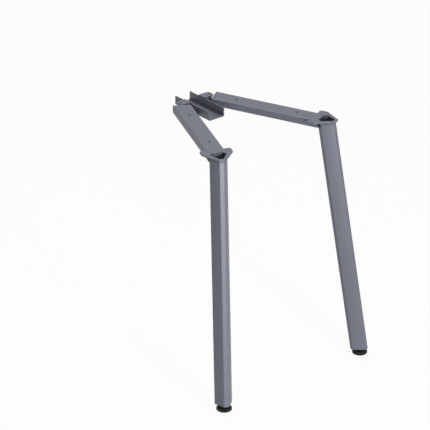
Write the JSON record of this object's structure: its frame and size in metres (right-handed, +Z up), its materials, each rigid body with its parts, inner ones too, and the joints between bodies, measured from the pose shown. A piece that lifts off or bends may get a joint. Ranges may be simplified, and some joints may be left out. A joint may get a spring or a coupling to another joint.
{
  "type": "table frame",
  "caption": "Splayed steel table frame: a folded channel and angled arms carry leaning legs of blunt triangular tube on screw-in levelling feet, and screw up under a worktop.",
  "frame": {"origin": "on the floor, in the mirror plane, halfway between the channel's end and the far edges of the leg ends", "axes": "+Z up, +X from the channel towards the legs, +Y across the table, towards the left leg"},
  "size_m": [0.5136, 0.5476, 0.715],
  "materials": {
    "frame_coat": "satin fine-texture powder coat, blue-grey anthracite",
    "black_plastic": "moulded, fine grain",
    "plated_steel": "zinc plated, turned"
  },
  "bodies": {
    "frame": {"hub_channel": "frame_coat", "left_joint_plate": "frame_coat", "left_arm": "frame_coat", "left_head_plate": "frame_coat", "left_leg_tube": "frame_coat", "left_end_plug": "black_plastic", "left_threaded_bush": "plated_steel", "right_joint_plate": "frame_coat", "right_arm": "frame_coat", "right_head_plate": "frame_coat", "right_leg_tube": "frame_coat", "right_end_plug": "black_plastic", "right_threaded_bush": "plated_steel"},
    "left_pad": {"left_foot_pad": "black_plastic"},
    "left_stem": {"left_levelling_stem": "plated_steel"},
    "right_pad": {"right_foot_pad": "black_plastic"},
    "right_stem": {"right_levelling_stem": "plated_steel"}
  },
  "joints": [
    {"name": "left_foot_travel", "type": "slide", "parent": "frame", "child": "left_pad", "axis": [0, 0, -1], "range_m": [-0.0009, 0.015]},
    {"name": "left_stem_turn", "type": "hinge", "parent": "left_pad", "child": "left_stem", "pos_m": [0.23345, 0.25207, 0.02], "axis": [0, 0, -1], "range_deg": [-217, 3601]},
    {"name": "right_foot_travel", "type": "slide", "parent": "frame", "child": "right_pad", "axis": [0, 0, -1], "range_m": [-0.0009, 0.015]},
    {"name": "right_stem_turn", "type": "hinge", "parent": "right_pad", "child": "right_stem", "pos_m": [0.23345, -0.25207, 0.02], "axis": [0, 0, -1], "range_deg": [-217, 3601]}
  ],
  "couplings": [
    {"joint": "left_stem_turn", "follows": "left_foot_travel", "rad_per_m": 4188.8},
    {"joint": "right_stem_turn", "follows": "right_foot_travel", "rad_per_m": 4188.8}
  ]
}
